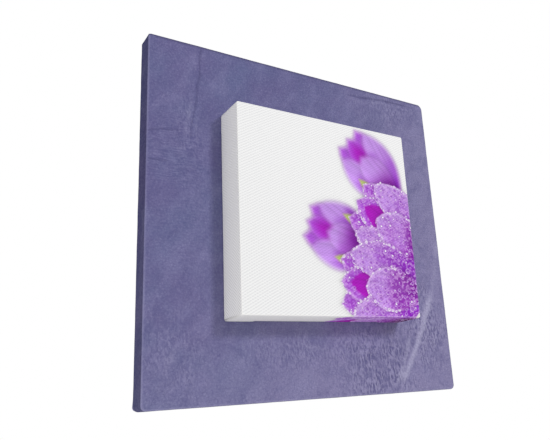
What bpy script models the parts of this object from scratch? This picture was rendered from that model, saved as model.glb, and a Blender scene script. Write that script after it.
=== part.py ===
"""A printed canvas mounted on a leather-covered panel, as the pieces it is put together from.

Metres, +Z up. X runs across the picture, Y runs back to the wall and Z runs up. The wall is
the plane Y = 0, and the origin is the middle of the panel on it. The picture faces -Y.

Both frames are square, so a bar, its keys, staples and cutters are drawn on the top side and
turned about Y by quarter turns: 0 is the top, 1 the right, 2 the bottom and 3 the left.
"""

import math

import bmesh
import bpy
from mathutils import Matrix, Vector

# Shared sizes
GAP = 0.0003               # between pieces that touch
SIDES = ("top", "right", "bottom", "left")

# Leather-covered panel
PANEL_SIDE = 0.356         # outside the leather
PANEL_DEPTH = 0.023        # front of the leather to its turned-over edge
WALL_CLEARANCE = 0.0055    # from that edge back to the wall
LEATHER = 0.0012
LEATHER_TURN = 0.030       # width of leather turned over onto the back
PANEL_BAR_WIDTH = 0.038
PANEL_BAR_LIP = 0.012      # flat rim of a bar's front, which carries the leather
PANEL_BAR_SLOPE = 0.0025   # how far the front falls from the rim to the inner edge
PANEL_CORNERS = (0.0008, 0.0060, 0.0032, 0.0030)  # rounding of the frame's corners, seen from
                           # the front: top left, top right, bottom right, bottom left
PANEL_EDGE = 0.0005        # rounding of the frame's front and back edges

# Corner joints of the panel frame
SHOULDER = 0.008           # wood left outside a tongue or slot
TONGUE = 0.0036            # thickness of a tongue
LEVEL_A = 0.0048           # depth of the first tongue's middle, from the frame's back
LEVEL_B = 0.0096           # depth of the second tongue's middle
KEY_SLOT_WIDTH = 0.014     # length of bar edge that a key's slot takes
KEY_WIDTH = 0.013
KEY_TIP = 0.006
KEY_LENGTH = 0.034
KEY_THICKNESS = 0.0030
KEY_SUNK = 0.022           # length of a key inside its slot when it is home

# Battens that carry the canvas
BATTEN_WIDTH = 0.040
BATTEN_THICKNESS = 0.008
BATTEN_LAP = 0.018         # length of batten let into the top and bottom bars

# Printed canvas
CANVAS_SIDE = 0.2070       # outside the cloth
CANVAS_PROUD = 0.038       # from the leather out to the face of the cloth
CLOTH = 0.0005
CLOTH_TURN = 0.013         # width of cloth turned over onto the back
CANVAS_BAR_WIDTH = 0.019
CANVAS_BAR_LIP = 0.005
CANVAS_BAR_SLOPE = 0.002
CANVAS_CORNERS = (0.0008,) * 4
CANVAS_EDGE = 0.0003

# Fasteners
MOUNT_SCREW_HEIGHT = 0.070  # of the four screws, above and below the middle
MOUNT_SCREW = {"length": 0.028, "shank": 0.00175, "head": 0.0034, "head_height": 0.0020}
HANGER_SCREW = {"length": 0.012, "shank": 0.0015, "head": 0.0030, "head_height": 0.0017}
TIP_LENGTH = 0.004
RECESS = (0.0034, 0.0007, 0.0010)  # cross recess: length, width, depth
WASHER_RADIUS = 0.005
WASHER_THICKNESS = 0.001
V_NAIL_LEG = 0.005
V_NAIL_THICKNESS = 0.0005
V_NAIL_DEPTH = 0.010
STAPLE_CROWN = 0.0105
STAPLE_LEG = 0.008
STAPLE_WIRE = 0.0007
STAPLE_INSET = 0.018       # from the panel frame's outer edge
STAPLE_PITCH = 0.056
STAPLES_PER_SIDE = 5

# Hangers
HANGER_INSET = 0.019       # from the panel frame's outer edge to a hanger's middle
HANGER_HEIGHT = 0.083      # of the D-rings' pivots above the middle
STRAP_WIDTH = 0.010
STRAP_LENGTH = 0.015       # below the pivot
STRAP_THICKNESS = 0.0016
STRAP_EYE = 0.0023         # outer radius of the eye that holds the ring
STRAP_SCREW_DROP = 0.0095  # from the pivot down to the screw
RING_WIRE = 0.0011         # radius of the ring's wire
RING_WIDTH = 0.017         # between the middles of its two sides
RING_REACH = 0.017         # from the pivot to the middle of the wire at its top
BUMPER_RADIUS = 0.006
BUMPER_INSET = 0.019

# Planes and half widths that follow from those sizes
LEATHER_BACK = -WALL_CLEARANCE
LEATHER_FRONT = LEATHER_BACK - PANEL_DEPTH
PANEL_BACK = LEATHER_BACK - LEATHER - GAP
PANEL_FRONT = LEATHER_FRONT + LEATHER + GAP
PANEL_HALF = PANEL_SIDE / 2 - LEATHER - GAP
PANEL_INNER = PANEL_HALF - PANEL_BAR_WIDTH
CLOTH_BACK = LEATHER_FRONT - GAP
CLOTH_FRONT = LEATHER_FRONT - CANVAS_PROUD
CANVAS_BACK = CLOTH_BACK - CLOTH - GAP
CANVAS_FRONT = CLOTH_FRONT + CLOTH + GAP
CANVAS_HALF = CANVAS_SIDE / 2 - CLOTH - GAP
CANVAS_INNER = CANVAS_HALF - CANVAS_BAR_WIDTH
BATTEN_X = CANVAS_HALF - CANVAS_BAR_WIDTH / 2
BATTEN_BACK = PANEL_FRONT + BATTEN_THICKNESS
HANGER_X = PANEL_HALF - HANGER_INSET
PIVOT_Y = LEATHER_BACK + GAP + STRAP_EYE


# ---------------------------------------------------------------- helpers

def clear_scene():
    for obj in list(bpy.data.objects):
        bpy.data.objects.remove(obj, do_unlink=True)


def new_collection(name):
    collection = bpy.data.collections.new(name)
    bpy.context.scene.collection.children.link(collection)
    return collection


def make_material(name, colour, roughness, metallic=0.0):
    material = bpy.data.materials.new(name)
    material.use_nodes = True
    shader = material.node_tree.nodes["Principled BSDF"]
    shader.inputs["Base Color"].default_value = (*colour, 1.0)
    shader.inputs["Roughness"].default_value = roughness
    shader.inputs["Metallic"].default_value = metallic
    return material


def add_piece(name, data, material):
    """Link a piece of the object, with a material of its own."""
    own = material.copy()
    own.name = name
    data.materials.clear()
    data.materials.append(own)
    obj = bpy.data.objects.new(name, data)
    PIECES.objects.link(obj)
    return obj


def add_cutter(name, data):
    obj = bpy.data.objects.new(name, data)
    obj.hide_render = True
    obj.display_type = "WIRE"
    CUTTERS.objects.link(obj)
    return obj


def mesh_from(bm, name):
    mesh = bpy.data.meshes.new(name)
    bm.normal_update()
    bm.to_mesh(mesh)
    bm.free()
    return mesh


def block_bmesh(low, high):
    """A box between two corners."""
    low, high = Vector(low), Vector(high)
    bm = bmesh.new()
    size = Matrix.Diagonal((*(high - low), 1.0))
    bmesh.ops.create_cube(bm, size=1.0, matrix=Matrix.Translation((low + high) / 2) @ size)
    return bm


def slice_off(bm, point, normal):
    """Cut away what lies on the normal's side of a plane, and close the cut."""
    geometry = bm.verts[:] + bm.edges[:] + bm.faces[:]
    cut = bmesh.ops.bisect_plane(
        bm, geom=geometry, plane_co=point, plane_no=normal, clear_outer=True)["geom_cut"]
    edges = [item for item in cut if isinstance(item, bmesh.types.BMEdge)]
    bmesh.ops.contextual_create(bm, geom=edges)


def square_slab_bmesh(half, front, back, corners, edge):
    """A square slab whose corners, from the top left round, and front and back edges are rounded."""
    bm = block_bmesh((-half, front, -half), (half, back, half))
    for radius, (x, z) in zip(corners, ((-1, 1), (1, 1), (1, -1), (-1, -1))):
        place = Vector((x * half, 0.0, z * half))
        upright = [e for e in bm.edges
                   if all(abs(v.co.x - place.x) + abs(v.co.z - place.z) < GAP for v in e.verts)]
        bmesh.ops.bevel(bm, geom=upright, offset=radius, segments=4, profile=0.5, affect="EDGES")
    rims = [e for e in bm.edges if abs(e.verts[0].co.y - e.verts[1].co.y) < 1e-6]
    bmesh.ops.bevel(bm, geom=rims, offset=edge, segments=2, profile=0.5, affect="EDGES")
    return bm


def turn(obj, quarter):
    obj.rotation_euler.y = quarter * math.pi / 2


def combine(obj, other, operation="DIFFERENCE"):
    modifier = obj.modifiers.new(other.name, "BOOLEAN")
    modifier.operation = operation
    modifier.solver = "EXACT"
    modifier.object = other


def block_cutter(name, low, high, quarter=0):
    cutter = add_cutter(name, mesh_from(block_bmesh(low, high), name))
    turn(cutter, quarter)
    return cutter


def cylinder_cutter(name, x, z, radius, front, back):
    """A round cutter along Y."""
    bm = bmesh.new()
    place = Matrix.Translation((x, (front + back) / 2, z)) @ Matrix.Rotation(math.pi / 2, 4, "X")
    bmesh.ops.create_cone(bm, cap_ends=True, segments=20, radius1=radius, radius2=radius,
                          depth=back - front, matrix=place)
    return add_cutter(name, mesh_from(bm, name))


def turned_piece(name, profile, material, location, steps=24):
    """A piece turned about Y: the profile gives radius and distance towards the wall."""
    mesh = bpy.data.meshes.new(name)
    points = [(radius, 0.0, height) for radius, height in profile]
    mesh.from_pydata(points, [(i, i + 1) for i in range(len(points) - 1)], [])
    piece = add_piece(name, mesh, material)
    screw = piece.modifiers.new("turned", "SCREW")
    screw.axis = "Z"
    screw.steps = screw.render_steps = steps
    screw.use_merge_vertices = True
    screw.merge_threshold = 0.00001
    screw.use_smooth_shade = True
    piece.rotation_euler.x = -math.pi / 2
    piece.location = location
    return piece


def flat_piece(name, outline, thickness, material):
    """A flat outline in its own X and Y, with a thickness."""
    curve = bpy.data.curves.new(name, "CURVE")
    curve.dimensions = "2D"
    curve.fill_mode = "BOTH"
    curve.extrude = thickness / 2
    spline = curve.splines.new("POLY")
    spline.points.add(len(outline) - 1)
    for point, (x, y) in zip(spline.points, outline):
        point.co = (x, y, 0.0, 1.0)
    spline.use_cyclic_u = True
    return add_piece(name, curve, material)


# ---------------------------------------------------------------- panel frame

def mitred_bar_bmesh(half, width, front, back, lip, slope):
    """The top bar of a square frame, its ends mitred and its front sloping in from a rim."""
    bm = block_bmesh((-half, front, half - width), (half, back, half))
    for end in (-1, 1):
        outward = Vector((end, 0.0, -1.0)).normalized()
        slice_off(bm, -outward * GAP / 2, outward)
    rim = Vector((0.0, front, half - lip))
    slice_off(bm, rim, Vector((0.0, lip - width, -slope)))
    return bm


def tongue_and_slot(bar, end, tongue_level, slot_level, quarter):
    """Work one end of a bar: a tongue at one depth and an open slot at another."""
    tongue_y = PANEL_BACK - tongue_level
    slot_y = PANEL_BACK - slot_level
    reach = PANEL_HALF - SHOULDER
    inward = PANEL_INNER - SHOULDER / 2
    side = "left" if end < 0 else "right"
    tongue_x = sorted((end * reach, end * inward))
    tongue = block_cutter(
        f"{bar.name}_{side}_tongue",
        (tongue_x[0], tongue_y - TONGUE / 2, PANEL_INNER),
        (tongue_x[1], tongue_y + TONGUE / 2, reach), quarter)
    combine(bar, tongue, "UNION")
    slot_x = sorted((end * (reach + GAP), end * (PANEL_INNER - KEY_SLOT_WIDTH)))
    slot = block_cutter(
        f"{bar.name}_{side}_slot",
        (slot_x[0], slot_y - TONGUE / 2 - GAP, PANEL_INNER - SHOULDER),
        (slot_x[1], slot_y + TONGUE / 2 + GAP, reach + GAP), quarter)
    combine(bar, slot)


def panel_bars(staple_holes, hanger_holes):
    """Four bars; each has its first tongue at the left end and its second at the right."""
    half_notch = BATTEN_WIDTH / 2 + GAP
    envelope = add_cutter("panel_frame_envelope", mesh_from(square_slab_bmesh(
        PANEL_HALF, PANEL_FRONT, PANEL_BACK, PANEL_CORNERS, PANEL_EDGE), "envelope"))
    for quarter, side in enumerate(SIDES):
        bm = mitred_bar_bmesh(PANEL_HALF, PANEL_BAR_WIDTH, PANEL_FRONT, PANEL_BACK,
                              PANEL_BAR_LIP, PANEL_BAR_SLOPE)
        bar = add_piece(f"panel_bar_{side}", mesh_from(bm, f"panel_bar_{side}"), PINE)
        turn(bar, quarter)
        tongue_and_slot(bar, -1, LEVEL_A, LEVEL_B, quarter)
        tongue_and_slot(bar, 1, LEVEL_B, LEVEL_A, quarter)
        combine(bar, envelope, "INTERSECT")
        if side in ("top", "bottom"):
            for x in (-BATTEN_X, BATTEN_X):
                notch = block_cutter(
                    f"{bar.name}_notch", (x - half_notch, PANEL_FRONT - SHOULDER, 0.0),
                    (x + half_notch, BATTEN_BACK + GAP, PANEL_INNER + BATTEN_LAP + GAP), quarter)
                combine(bar, notch)
        combine(bar, staple_holes[side])
        if side in hanger_holes:
            combine(bar, hanger_holes[side])


def battens():
    reach = PANEL_INNER + BATTEN_LAP
    made = []
    for side, x in (("left", -BATTEN_X), ("right", BATTEN_X)):
        bm = block_bmesh((x - BATTEN_WIDTH / 2, PANEL_FRONT, -reach),
                         (x + BATTEN_WIDTH / 2, BATTEN_BACK, reach))
        made.append(add_piece(f"batten_{side}", mesh_from(bm, f"batten_{side}"), PINE))
    return made


def wedge_keys():
    """Two keys a bar, beside its ends: a straight edge by the corner and a tapered one."""
    outline = ((0.0, -KEY_SUNK), (KEY_TIP, -KEY_SUNK), (KEY_WIDTH, KEY_LENGTH - KEY_SUNK),
               (0.0, KEY_LENGTH - KEY_SUNK))
    for quarter, side in enumerate(SIDES):
        for end, level in ((-1, LEVEL_B), (1, LEVEL_A)):
            corner = SIDES[(quarter + end) % len(SIDES)]
            points = [(-end * x, y) for x, y in outline]
            key = flat_piece(f"key_{side}_{corner}", points[::-end], KEY_THICKNESS, BEECH)
            mouth = Vector((end * (PANEL_INNER - GAP), PANEL_BACK - level, PANEL_INNER))
            quarter_turn = Matrix.Rotation(quarter * math.pi / 2, 4, "Y")
            lay_flat = Matrix.Rotation(-math.pi / 2, 4, "X")
            key.matrix_world = quarter_turn @ Matrix.Translation(mouth) @ lay_flat


# ---------------------------------------------------------------- sheets over the frames

def wrapped_sheet(name, half, front, back, thickness, turn_over, corners, edge, material):
    """One sheet over the front and sides of a frame and turned over onto its back."""
    outer = [corner + thickness + GAP for corner in corners]
    inner = [corner + GAP for corner in corners]
    cover = add_piece(name, mesh_from(square_slab_bmesh(
        half, front, back, outer, edge + thickness + GAP), name), material)
    inside = add_cutter(f"{name}_inside", mesh_from(square_slab_bmesh(
        half - thickness, front + thickness, back - thickness, inner, edge + GAP), name))
    combine(cover, inside)
    window = half - turn_over
    combine(cover, block_cutter(f"{name}_window", (-window, (front + back) / 2, -window),
                                (window, back + thickness, window)))
    return cover


# ---------------------------------------------------------------- canvas frame

def canvas_bars():
    envelope = add_cutter("canvas_frame_envelope", mesh_from(square_slab_bmesh(
        CANVAS_HALF, CANVAS_FRONT, CANVAS_BACK, CANVAS_CORNERS, CANVAS_EDGE), "envelope"))
    pocket = V_NAIL_THICKNESS / 2 + GAP
    made = {}
    for quarter, side in enumerate(SIDES):
        bm = mitred_bar_bmesh(CANVAS_HALF, CANVAS_BAR_WIDTH, CANVAS_FRONT, CANVAS_BACK,
                              CANVAS_BAR_LIP, CANVAS_BAR_SLOPE)
        bar = add_piece(f"canvas_bar_{side}", mesh_from(bm, f"canvas_bar_{side}"), PINE)
        turn(bar, quarter)
        combine(bar, envelope, "INTERSECT")
        for end in (-1, 1):
            along = sorted((end * (BATTEN_X + pocket), end * (BATTEN_X - V_NAIL_LEG - GAP)))
            combine(bar, block_cutter(
                f"{bar.name}_v_pocket",
                (along[0], CANVAS_BACK - V_NAIL_DEPTH - GAP, BATTEN_X - pocket),
                (along[1], CANVAS_BACK + V_NAIL_DEPTH, BATTEN_X + pocket), quarter))
        made[side] = bar
    return made


def v_nails():
    """An angle of steel strip driven across each mitre of the canvas frame from behind."""
    outer = V_NAIL_THICKNESS / 2
    outline = ((outer, outer), (-V_NAIL_LEG, outer), (-V_NAIL_LEG, -outer), (-outer, -outer),
               (-outer, -V_NAIL_LEG), (outer, -V_NAIL_LEG))
    for quarter, side in enumerate(SIDES):
        nail = flat_piece(f"v_nail_{side}_{SIDES[(quarter + 1) % 4]}", outline,
                          V_NAIL_DEPTH, STEEL)
        place = Matrix.Translation((BATTEN_X, CANVAS_BACK - V_NAIL_DEPTH / 2, BATTEN_X))
        lay_flat = Matrix.Rotation(math.pi / 2, 4, "X")
        nail.matrix_world = Matrix.Rotation(quarter * math.pi / 2, 4, "Y") @ place @ lay_flat


# ---------------------------------------------------------------- fasteners

def screw(name, size, seat, x, z):
    """A pan-head screw whose head rests at depth seat and whose tip points at -Y."""
    top, head, shank = size["head_height"], size["head"], size["shank"]
    round_off = top * 0.4
    profile = ((0.0, top), (head - 1.4 * round_off, top), (head - 0.4 * round_off, top * 0.8),
               (head, top - round_off * 1.3), (head, 0.0), (shank, 0.0),
               (shank, TIP_LENGTH - size["length"]), (0.0, -size["length"]))
    piece = turned_piece(name, profile, STEEL, (x, seat, z))
    length, width, depth = RECESS
    for across, up in ((length, width), (width, length)):
        combine(piece, block_cutter(
            f"{name}_recess", (x - across / 2, seat + top - depth, z - up / 2),
            (x + across / 2, seat + top + depth, z + up / 2)))
    return piece


def mount_screws(battens_made, bars, leather, cloth):
    """Four screws with washers, through the battens and the leather into the canvas frame."""
    washer_seat = BATTEN_BACK + GAP
    head_seat = washer_seat + WASHER_THICKNESS + GAP
    bore = MOUNT_SCREW["shank"] + GAP
    for batten, bar_side, x in zip(battens_made, ("left", "right"), (-BATTEN_X, BATTEN_X)):
        for level, z in (("upper", MOUNT_SCREW_HEIGHT), ("lower", -MOUNT_SCREW_HEIGHT)):
            where = f"{level}_{bar_side}"
            screw(f"mount_screw_{where}", MOUNT_SCREW, head_seat, x, z)
            ring = ((bore, 0.0), (bore, WASHER_THICKNESS), (WASHER_RADIUS, WASHER_THICKNESS),
                    (WASHER_RADIUS, 0.0), (bore, 0.0))
            turned_piece(f"mount_washer_{where}", ring, STEEL, (x, washer_seat, z))
            hole = cylinder_cutter(f"mount_hole_{where}", x, z, bore,
                                   head_seat - MOUNT_SCREW["length"] - 2 * GAP, washer_seat)
            for piece in (batten, bars[bar_side], leather, cloth):
                combine(piece, hole)


def staple_places():
    middle = (STAPLES_PER_SIDE - 1) / 2
    return [(i - middle) * STAPLE_PITCH for i in range(STAPLES_PER_SIDE)]


def staple_hole_cutters():
    """For each side, one cutter that holds the leg holes of all its staples."""
    half = STAPLE_WIRE / 2 + GAP
    leg = STAPLE_CROWN / 2 - STAPLE_WIRE / 2
    z = PANEL_HALF - STAPLE_INSET
    made = {}
    for quarter, side in enumerate(SIDES):
        holes = bmesh.new()
        for place in staple_places():
            for x in (place - leg, place + leg):
                hole = block_bmesh((x - half, PANEL_BACK - STAPLE_LEG, z - half),
                                   (x + half, LEATHER_BACK + GAP / 2, z + half))
                hole_mesh = mesh_from(hole, "hole")
                holes.from_mesh(hole_mesh)
                bpy.data.meshes.remove(hole_mesh)
        made[side] = add_cutter(f"staple_holes_{side}", mesh_from(holes, f"staple_holes_{side}"))
        turn(made[side], quarter)
    return made


def staples():
    """Staples through the leather's turned-over edge, their crowns along the bar."""
    crown, wire = STAPLE_CROWN / 2, STAPLE_WIRE
    outline = ((-crown, -STAPLE_LEG), (-crown, wire), (crown, wire), (crown, -STAPLE_LEG),
               (crown - wire, -STAPLE_LEG), (crown - wire, 0.0), (wire - crown, 0.0),
               (wire - crown, -STAPLE_LEG))
    for quarter, side in enumerate(SIDES):
        for number, place in enumerate(staple_places(), start=1):
            staple = flat_piece(f"staple_{side}_{number}", outline[::-1], STAPLE_WIRE, STEEL)
            staple.matrix_world = (Matrix.Rotation(quarter * math.pi / 2, 4, "Y") @
                                   Matrix.Translation((place, LEATHER_BACK + GAP,
                                                       PANEL_HALF - STAPLE_INSET)))


# ---------------------------------------------------------------- hangers and bumpers

def hanger_hole_cutters():
    made = {}
    bore = HANGER_SCREW["shank"] + GAP
    for side, x in (("left", -HANGER_X), ("right", HANGER_X)):
        made[side] = cylinder_cutter(
            f"hanger_hole_{side}", x, HANGER_HEIGHT - STRAP_SCREW_DROP, bore,
            LEATHER_BACK - HANGER_SCREW["length"], 0.0)
    return made


def hanger(side, x, hole):
    """A strap folded round the straight side of a D-ring, and its screw."""
    plate_back = LEATHER_BACK + GAP + STRAP_THICKNESS
    eye_overlap = RING_WIRE
    plate = block_bmesh((x - STRAP_WIDTH / 2, LEATHER_BACK + GAP, HANGER_HEIGHT - STRAP_LENGTH),
                        (x + STRAP_WIDTH / 2, plate_back, HANGER_HEIGHT - eye_overlap))
    foot = [e for e in plate.edges if abs(e.verts[0].co.y - e.verts[1].co.y) > GAP
            and e.verts[0].co.z < HANGER_HEIGHT - STRAP_LENGTH / 2]
    bmesh.ops.bevel(plate, geom=foot, offset=STRAP_WIDTH * 0.4, segments=5, profile=0.5,
                    affect="EDGES")
    strap = add_piece(f"hanger_strap_{side}", mesh_from(plate, f"hanger_strap_{side}"), STEEL)
    eye = bmesh.new()
    along_x = Matrix.Translation((x, PIVOT_Y, HANGER_HEIGHT)) @ Matrix.Rotation(math.pi / 2, 4, "Y")
    bmesh.ops.create_cone(eye, cap_ends=True, segments=32, radius1=STRAP_EYE, radius2=STRAP_EYE,
                          depth=STRAP_WIDTH, matrix=along_x)
    combine(strap, add_cutter(f"{strap.name}_eye", mesh_from(eye, "eye")), "UNION")
    bore = bmesh.new()
    bmesh.ops.create_cone(bore, cap_ends=True, segments=32, radius1=RING_WIRE + GAP,
                          radius2=RING_WIRE + GAP, depth=2 * STRAP_WIDTH, matrix=along_x)
    combine(strap, add_cutter(f"{strap.name}_bore", mesh_from(bore, "bore")))
    combine(strap, hole)

    screw(f"hanger_screw_{side}", HANGER_SCREW, plate_back + GAP, x,
          HANGER_HEIGHT - STRAP_SCREW_DROP)
    d_ring(side, x)


def d_ring(side, x):
    """A ring of round wire: a straight side on the pivot, two short sides and a half circle."""
    half = RING_WIDTH / 2
    straight = RING_REACH - half
    arc_steps = 20
    bend = RING_WIRE * 1.6
    bend_steps = 4
    points = []
    for end, start in ((-1, math.pi), (1, 1.5 * math.pi)):
        for step in range(bend_steps + 1):
            angle = start + step / bend_steps * math.pi / 2
            points.append((end * (half - bend) + bend * math.cos(angle), bend + bend * math.sin(angle)))
    for step in range(arc_steps + 1):
        angle = step / arc_steps * math.pi
        points.append((half * math.cos(angle), straight + half * math.sin(angle)))
    curve = bpy.data.curves.new(f"d_ring_{side}", "CURVE")
    curve.dimensions = "3D"
    curve.bevel_depth = RING_WIRE
    curve.bevel_resolution = 2
    spline = curve.splines.new("POLY")
    spline.points.add(len(points) - 1)
    for point, (across, up) in zip(spline.points, points):
        point.co = (across, 0.0, up, 1.0)
    spline.use_cyclic_u = True
    ring = add_piece(f"d_ring_{side}", curve, STEEL)
    ring.location = (x, PIVOT_Y, HANGER_HEIGHT)


def bumpers():
    """Rubber feet that stand the panel's lower edge off the wall."""
    seat = LEATHER_BACK + GAP
    height = -seat
    profile = ((0.0, height), (BUMPER_RADIUS * 0.7, height), (BUMPER_RADIUS * 0.9, height * 0.75),
               (BUMPER_RADIUS, height * 0.3), (BUMPER_RADIUS, 0.0), (0.0, 0.0))
    place = PANEL_HALF - BUMPER_INSET
    for side, x in (("left", -place), ("right", place)):
        turned_piece(f"bumper_{side}", profile, RUBBER, (x, seat, -place))


# ---------------------------------------------------------------- assembly

def build():
    staple_holes = staple_hole_cutters()
    hanger_holes = hanger_hole_cutters()
    panel_bars(staple_holes, hanger_holes)
    wedge_keys()
    carriers = battens()
    leather = wrapped_sheet("leather_cover", PANEL_SIDE / 2, LEATHER_FRONT, LEATHER_BACK, LEATHER,
                            LEATHER_TURN, PANEL_CORNERS, PANEL_EDGE, HIDE)
    cloth = wrapped_sheet("printed_canvas", CANVAS_SIDE / 2, CLOTH_FRONT, CLOTH_BACK, CLOTH,
                          CLOTH_TURN, CANVAS_CORNERS, CANVAS_EDGE, COTTON)
    frame_bars = canvas_bars()
    v_nails()
    mount_screws(carriers, frame_bars, leather, cloth)
    staples()
    for cutter in [*staple_holes.values(), *hanger_holes.values()]:
        combine(leather, cutter)
    hanger("left", -HANGER_X, hanger_holes["left"])
    hanger("right", HANGER_X, hanger_holes["right"])
    bumpers()


clear_scene()
PIECES = new_collection("stretched_canvas")
CUTTERS = new_collection("cutters")
PINE = make_material("pine", (0.72, 0.52, 0.31), 0.65)
BEECH = make_material("beech", (0.66, 0.43, 0.26), 0.6)
HIDE = make_material("hide", (0.15, 0.13, 0.30), 0.5)
COTTON = make_material("cotton", (0.86, 0.86, 0.87), 0.8)
STEEL = make_material("zinc_plated_steel", (0.62, 0.63, 0.65), 0.3, 1.0)
RUBBER = make_material("rubber", (0.03, 0.03, 0.03), 0.8)
build()
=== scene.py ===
"""Looks for a printed canvas mounted on a leather-covered panel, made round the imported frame.

Metres, +Z up. The wall is the plane Y = 0, the picture faces -Y, and the origin is the middle
of the panel on the wall. The leather and the printed cloth are each one sheet wrapped over a
frame. Wood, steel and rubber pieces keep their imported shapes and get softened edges.
"""

import math

import bpy
import numpy as np
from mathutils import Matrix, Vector


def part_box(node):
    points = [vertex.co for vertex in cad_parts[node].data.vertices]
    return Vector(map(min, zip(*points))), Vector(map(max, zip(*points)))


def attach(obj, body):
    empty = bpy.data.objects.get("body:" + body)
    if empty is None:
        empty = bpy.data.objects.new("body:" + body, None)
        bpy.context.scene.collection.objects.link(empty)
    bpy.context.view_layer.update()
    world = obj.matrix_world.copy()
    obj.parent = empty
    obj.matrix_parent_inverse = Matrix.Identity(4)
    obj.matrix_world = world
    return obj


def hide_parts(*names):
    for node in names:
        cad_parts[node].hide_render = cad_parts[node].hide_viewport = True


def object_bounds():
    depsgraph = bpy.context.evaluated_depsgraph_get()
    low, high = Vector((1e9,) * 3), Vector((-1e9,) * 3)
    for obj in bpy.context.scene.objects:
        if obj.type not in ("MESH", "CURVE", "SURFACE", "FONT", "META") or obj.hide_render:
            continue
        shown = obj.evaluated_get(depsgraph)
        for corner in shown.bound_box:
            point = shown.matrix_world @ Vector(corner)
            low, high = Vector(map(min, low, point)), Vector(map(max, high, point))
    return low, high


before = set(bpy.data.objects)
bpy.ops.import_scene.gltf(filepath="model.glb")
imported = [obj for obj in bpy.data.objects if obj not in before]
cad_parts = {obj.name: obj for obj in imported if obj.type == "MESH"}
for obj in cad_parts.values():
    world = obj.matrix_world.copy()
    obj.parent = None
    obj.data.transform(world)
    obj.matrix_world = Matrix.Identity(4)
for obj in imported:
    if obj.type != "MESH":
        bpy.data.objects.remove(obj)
CAD_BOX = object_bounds()
PANEL = "panel"            # the body that everything but the keys and rings rides on
SIDES = ("top", "right", "bottom", "left")

# Camera and light
CAMERA_PLACE = (-0.3451, -0.5655, -0.1801)
CAMERA_TURN = (106.862, 4.197, -34.866)   # degrees
CAMERA_LENS = 40.86
CAMERA_SHIFT = (-0.1327, -0.0188)
AMBIENT = 0.64             # light from all round, against a white background of 1
LAMPS = {                  # direction from the picture, distance, size, power and colour
    "key_lamp": ((0.22, -0.90, 0.30), 2.2, 0.40, 15.9, (1.0, 1.0, 1.0)),
    "fill_lamp": ((-0.69, -0.12, -0.72), 1.5, 0.70, 6.6, (1.0, 0.97, 0.89)),
    "back_lamp": ((-0.30, 0.85, 0.45), 2.2, 0.75, 9.0, (1.0, 1.0, 1.0)),
}
FLOOR_DROP = 1.60          # below the middle of the picture
FLOOR_RADIUS = 3.0

# Sheets
LEATHER = 0.0012           # thickness
LEATHER_TURN = 0.030       # turned over onto the back
LEATHER_CORNERS = (0.0023, 0.0075, 0.0047, 0.0045)  # rounding of the corners, seen from the
                           # front: top left, top right, bottom right, bottom left
LEATHER_EDGE = 0.0020      # rounding of the front and back edges
LEATHER_PITCH = 0.0016     # between mesh lines on the front
LEATHER_SIDE_PITCH = 0.0021
CLOTH = 0.0005
CLOTH_TURN = 0.013
CLOTH_CORNERS = (0.0016,) * 4
CLOTH_EDGE = 0.0011
CLOTH_SIDE_PITCH = 0.0022
PRINT_PITCH = 0.00085      # between mesh lines where the print has detail
PLAIN_PITCH = 0.00125      # where it is plain white
PRINT_START = 0.17         # share of the width left of which the print is plain
FOLD_SLOPE = 0.80          # width of a corner fold on the top or bottom, for each unit of depth
TWILL_ACROSS = 0.0050      # repeat of the weave's diagonal along X
TWILL_UP = 0.0028          # and along Z


# ---------------------------------------------------------------- numbers and noise

def smoothstep(low, high, value):
    share = np.clip((value - low) / (high - low), 0.0, 1.0)
    return share * share * (3.0 - 2.0 * share)


def value_noise(x, y, seed):
    """Smooth noise from 0 to 1 on a unit lattice."""
    column, row = np.floor(x), np.floor(y)
    across, up = smoothstep(0, 1, x - column), smoothstep(0, 1, y - row)

    def corner(i, j):
        value = np.sin((column + i) * 127.1 + (row + j) * 311.7 + seed * 74.7) * 43758.5453
        return value - np.floor(value)

    low = corner(0, 0) * (1 - across) + corner(1, 0) * across
    high = corner(0, 1) * (1 - across) + corner(1, 1) * across
    return low * (1 - up) + high * up


def linear(display):
    """Display colour values from 0 to 1 as linear light."""
    display = np.asarray(display, float)
    return np.where(display <= 0.04045, display / 12.92, ((display + 0.055) / 1.055) ** 2.4)


# ---------------------------------------------------------------- camera, light and floor

def add_camera():
    data = bpy.data.cameras.new("camera")
    data.lens = CAMERA_LENS
    data.shift_x, data.shift_y = CAMERA_SHIFT
    camera = bpy.data.objects.new("camera", data)
    camera.location = CAMERA_PLACE
    camera.rotation_euler = [math.radians(angle) for angle in CAMERA_TURN]
    bpy.context.scene.collection.objects.link(camera)
    bpy.context.scene.camera = camera


def add_lamp(name, direction, distance, size, power, colour):
    data = bpy.data.lights.new(name, "AREA")
    data.shape = "DISK"
    data.size = size
    data.energy = power
    data.color = colour
    lamp = bpy.data.objects.new(name, data)
    towards = Vector(direction).normalized()
    lamp.location = towards * distance
    lamp.rotation_euler = towards.to_track_quat("Z", "Y").to_euler()
    lamp.visible_camera = False
    bpy.context.scene.collection.objects.link(lamp)


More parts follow.
